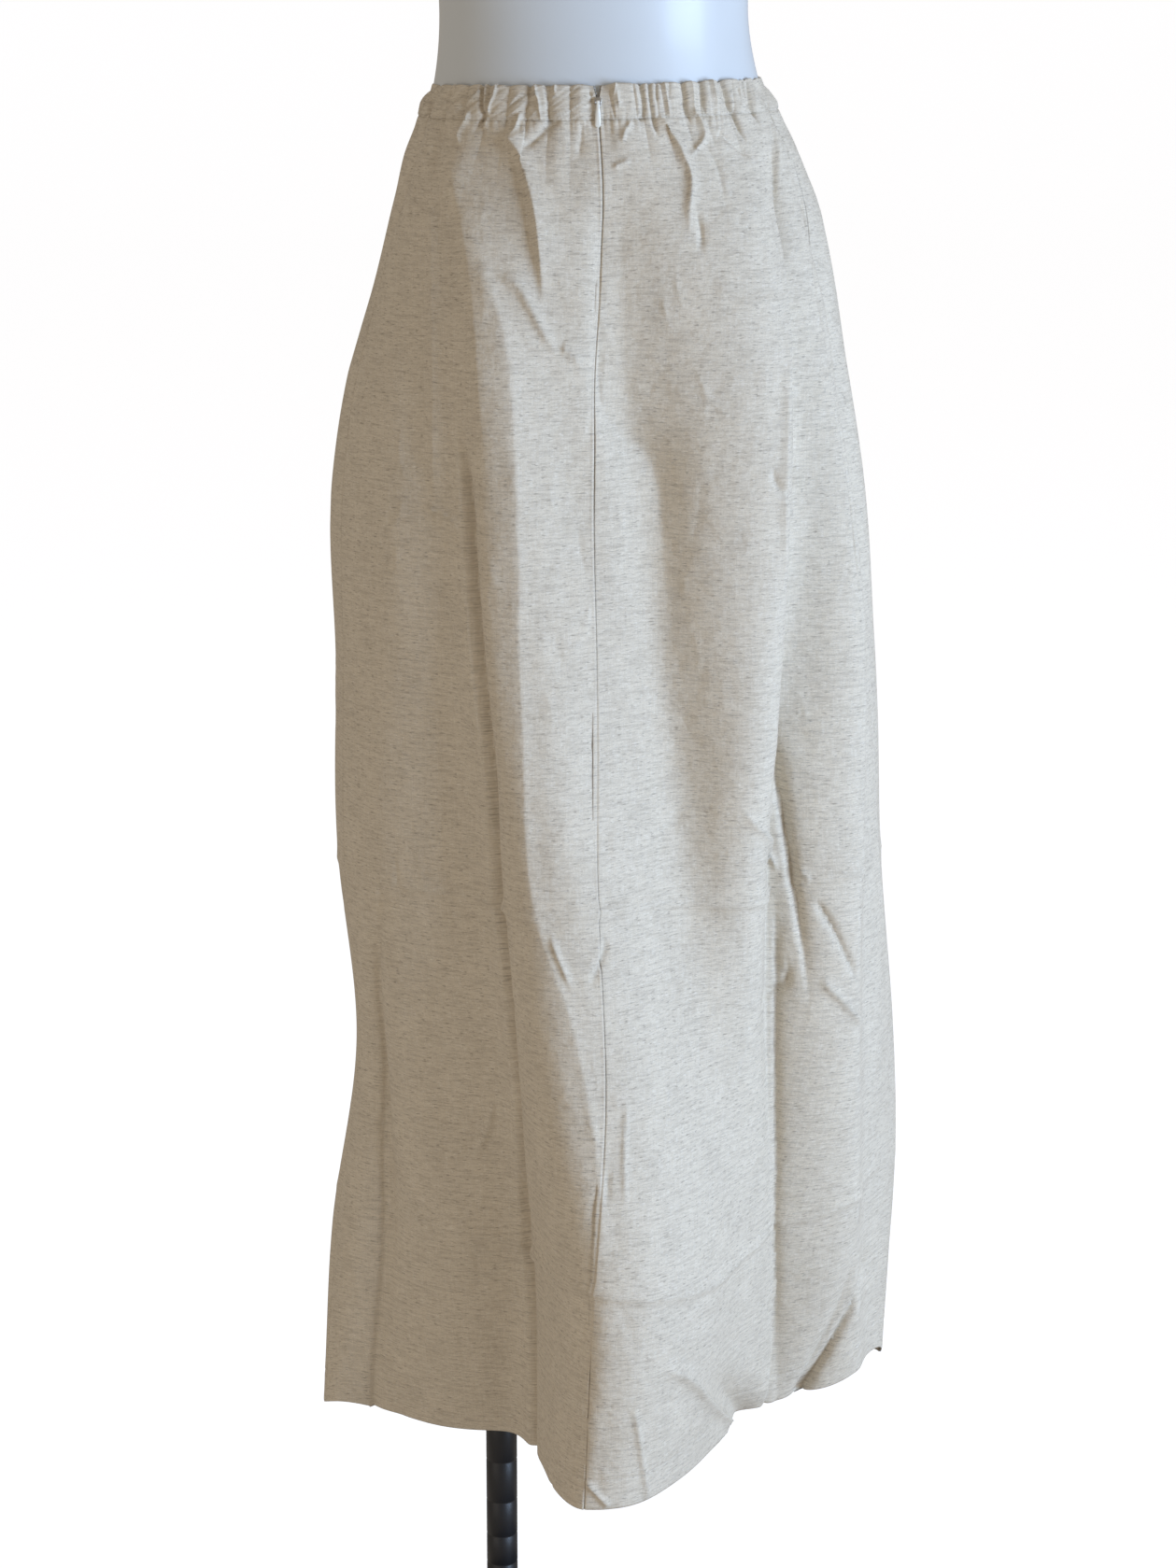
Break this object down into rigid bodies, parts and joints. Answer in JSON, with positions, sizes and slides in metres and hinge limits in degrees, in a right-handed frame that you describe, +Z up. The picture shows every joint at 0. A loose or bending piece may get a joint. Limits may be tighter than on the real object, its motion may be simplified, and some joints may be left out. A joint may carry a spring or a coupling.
{
  "type": "maxi skirt on a dress form",
  "caption": "Long gathered linen-look skirt with an elastic waistband and a centre-back zip, on a limbless dress form with a pole and a round base.",
  "frame": {"origin": "on the floor, at the centre of the base plate's underside, below the dress form's axis", "axes": "+Z up; the skirt's back with its zip faces -Y, its front faces +Y; +X is on the right as seen from behind"},
  "size_m": [0.4559, 0.482, 1.812],
  "materials": {
    "linen_cloth": "oatmeal slub linen look, matte",
    "zip_tape_cloth": "cream woven tape",
    "slider_metal": "plain metal",
    "pull_tab_enamel": "cream enamel",
    "form_shell": "satin cool white",
    "stand_black": "black satin paint"
  },
  "bodies": {
    "skirt_and_form": {"skirt_front": "linen_cloth", "skirt_back_left": "linen_cloth", "skirt_back_right": "linen_cloth", "waistband": "linen_cloth", "zip_tape": "zip_tape_cloth", "zip_slider": "slider_metal", "form_torso": "form_shell", "form_socket": "stand_black", "form_pole": "stand_black", "base_collar": "stand_black", "base_plate": "stand_black"},
    "pull_tab": {"zip_pull_tab": "pull_tab_enamel"}
  },
  "joints": [
    {"name": "pull_tab_hinge", "type": "hinge", "parent": "skirt_and_form", "child": "pull_tab", "pos_m": [0.00708, -0.09192, 1.28818], "axis": [-1, 0, 0], "range_deg": [0, 150]}
  ]
}
